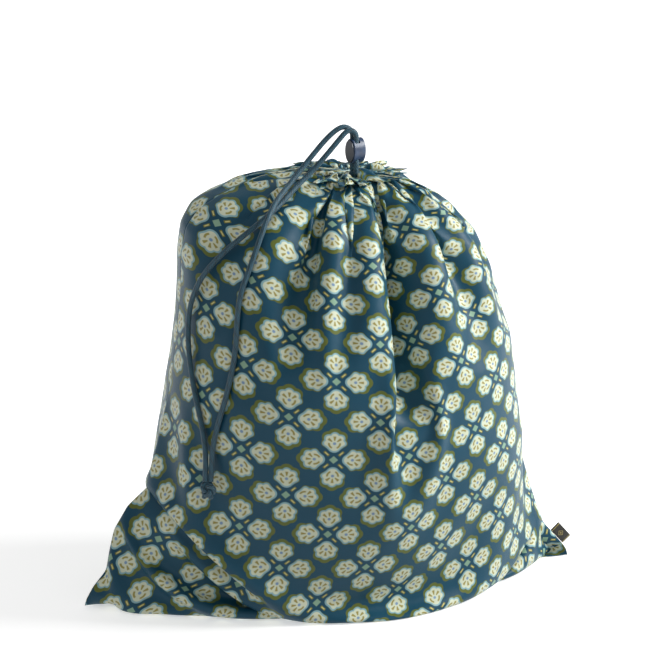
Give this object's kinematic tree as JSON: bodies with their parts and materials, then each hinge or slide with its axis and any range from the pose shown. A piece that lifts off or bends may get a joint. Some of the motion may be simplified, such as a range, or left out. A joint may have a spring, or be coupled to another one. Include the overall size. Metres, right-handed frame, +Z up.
{
  "type": "laundry bag",
  "caption": "Filled drawstring laundry bag standing on its base, with gathered mouth, round cord, spring cord lock, tied tails and a side seam tab.",
  "frame": {"origin": "middle of the floor rectangle that the bag covers, cord left out", "axes": "+X along the bottom seam towards the corner with the seam tab, +Y to the back, +Z up"},
  "size_m": [0.4973, 0.2576, 0.4595],
  "materials": {
    "cloth": "matte",
    "thread": "matte",
    "cord": "matte",
    "lock": "satin",
    "button": "satin",
    "spring": "satin",
    "label": "matte"
  },
  "bodies": {
    "bag": {"front_panel": "cloth", "back_panel": "cloth", "front_casing": "cloth", "back_casing": "cloth", "left_seam": "cloth", "right_seam": "cloth", "bottom_seam": "cloth", "casing_stitching": "thread", "drawcord_loop": "cord", "back_tail": "cord", "front_tail": "cord", "cord_knot": "cord"},
    "lock": {"lock_body": "lock", "lock_spring": "spring"},
    "button": {"lock_button": "button"},
    "label": {"side_label": "label"}
  },
  "joints": [
    {"name": "lock_slide", "type": "slide", "parent": "bag", "child": "lock", "axis": [0, 0, 1], "range_m": [0, 0.003]},
    {"name": "button_press", "type": "slide", "parent": "lock", "child": "button", "axis": [0.9397, 0.342, 0], "range_m": [0, 0.002], "stiffness_N_per_m": 300, "springref_m": -0.002, "deforming": ["lock_spring"]},
    {"name": "label_fold", "type": "hinge", "parent": "bag", "child": "label", "pos_m": [0.2336, -0.0025, 0.0196], "axis": [0.6595, 0, -0.7517], "range_deg": [-70, 70], "stiffness_Nm_per_rad": 0.0003}
  ]
}
